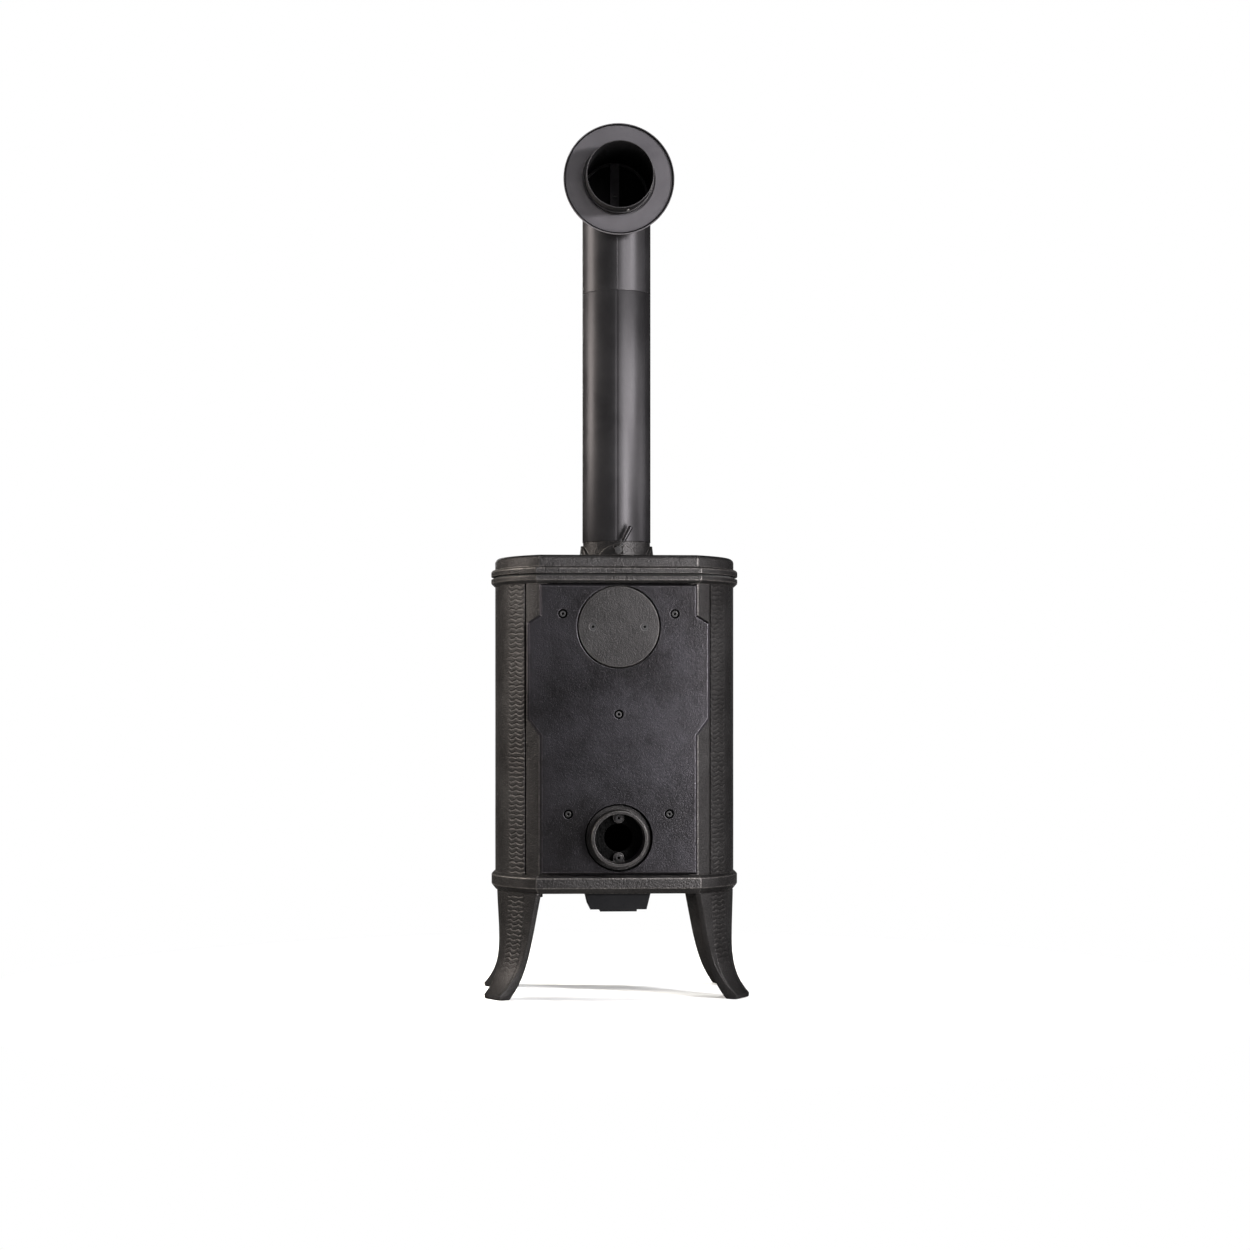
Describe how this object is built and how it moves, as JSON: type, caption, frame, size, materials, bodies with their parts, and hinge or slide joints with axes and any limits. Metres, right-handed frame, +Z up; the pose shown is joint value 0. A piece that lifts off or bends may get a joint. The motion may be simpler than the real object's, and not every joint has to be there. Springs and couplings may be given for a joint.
{
  "type": "wood stove",
  "caption": "Small cast-iron wood stove on curved legs with round sides, a rear heat shield, an air inlet spigot, and a flue pipe with an elbow and wall rosette.",
  "frame": {"origin": "on the floor in the middle of the stove's footprint, measured over its toes, flue end and door handle", "axes": "+Z up, -Y to the front with the door, +Y to the rear with the shield and the flue end, +X to the right seen from the front"},
  "size_m": [0.438, 0.392, 1.423],
  "materials": {
    "cast_iron": "matte black stove paint on fine sand-cast iron",
    "shield_iron": "matte dark charcoal stove paint on fine sand-cast iron",
    "flue_steel": "smooth matte black heat-proof paint",
    "rosette_steel": "satin grey heat-proof paint",
    "sheet_steel": "black painted sheet",
    "bare_steel": "dull blackened steel",
    "knob_plastic": "matte",
    "handle_wood": "oiled",
    "sealing_rope": "knitted glass rope",
    "fire_lining": "pressed vermiculite board, matte",
    "door_glass": "clear heat-proof glass"
  },
  "bodies": {
    "stove": {"base_casting": "cast_iron", "leg_rear_left": "cast_iron", "leg_rear_right": "cast_iron", "leg_front_left": "cast_iron", "leg_front_right": "cast_iron", "leg_bolts": "bare_steel", "side_panel_left": "cast_iron", "side_panel_right": "cast_iron", "rear_wall": "cast_iron", "rear_shield": "shield_iron", "shield_screws": "bare_steel", "flue_cover": "cast_iron", "cover_screws": "bare_steel", "cover_bridge": "cast_iron", "air_inlet_spigot": "cast_iron", "air_inlet_screws": "bare_steel", "air_duct": "sheet_steel", "air_box": "sheet_steel", "front_frame": "cast_iron", "top_frame": "cast_iron", "top_gasket": "sealing_rope", "top_plate": "cast_iron", "tie_rods": "bare_steel", "flue_collar": "cast_iron", "collar_bolts": "bare_steel", "flue_pipe": "flue_steel", "flue_elbow": "flue_steel", "cleanout_cover": "flue_steel", "cleanout_strap": "flue_steel", "rear_burn_plate": "fire_lining", "side_burn_plate_left": "fire_lining", "side_burn_plate_right": "fire_lining", "baffle_plate": "fire_lining", "firebed_plate": "cast_iron", "fire_grate": "cast_iron", "log_guard": "cast_iron", "hinge_pins": "bare_steel", "latch_keeper": "bare_steel", "ash_lip": "cast_iron"},
    "door": {"door_frame": "cast_iron", "door_glass": "door_glass", "glass_clips": "bare_steel", "door_gasket": "sealing_rope"},
    "handle": {"door_handle": "cast_iron", "handle_grip": "handle_wood", "door_latch": "bare_steel"},
    "ash_drawer": {"ash_pan": "sheet_steel", "ash_pan_front": "cast_iron", "ash_pan_knob": "bare_steel"},
    "primary_air": {"primary_air_slide": "sheet_steel", "primary_air_rod": "bare_steel"},
    "airwash": {"airwash_slider": "sheet_steel", "airwash_knob": "bare_steel"},
    "damper": {"damper_spindle": "bare_steel", "damper_blade": "cast_iron", "damper_lever": "bare_steel", "damper_grip": "bare_steel"},
    "rosette": {"wall_rosette": "rosette_steel"},
    "cleanout": {"cleanout_knob": "knob_plastic"}
  },
  "joints": [
    {"name": "door_swing", "type": "hinge", "parent": "stove", "child": "door", "pos_m": [-0.122, -0.142, 0.45], "axis": [0, 0, -1], "range_deg": [0, 110]},
    {"name": "handle_turn", "type": "hinge", "parent": "door", "child": "handle", "pos_m": [0.087, -0.151, 0.4554], "axis": [0, 1, 0], "range_deg": [0, 90]},
    {"name": "ash_drawer_slide", "type": "slide", "parent": "stove", "child": "ash_drawer", "axis": [0, -1, 0], "range_m": [0, 0.16]},
    {"name": "primary_air_slide", "type": "slide", "parent": "stove", "child": "primary_air", "axis": [0, -1, 0], "range_m": [0, 0.04]},
    {"name": "airwash_slide", "type": "slide", "parent": "stove", "child": "airwash", "axis": [1, 0, 0], "range_m": [0, 0.015]},
    {"name": "damper_turn", "type": "hinge", "parent": "stove", "child": "damper", "pos_m": [0, 0.078, 0.733], "axis": [0, 1, 0], "range_deg": [-62, 28]},
    {"name": "rosette_slide", "type": "slide", "parent": "stove", "child": "rosette", "axis": [0, 1, 0], "range_m": [0, 0.03]},
    {"name": "cleanout_screw", "type": "hinge", "parent": "stove", "child": "cleanout", "pos_m": [0, 0.005, 1.333], "axis": [0, 1, 0], "continuous": true}
  ]
}
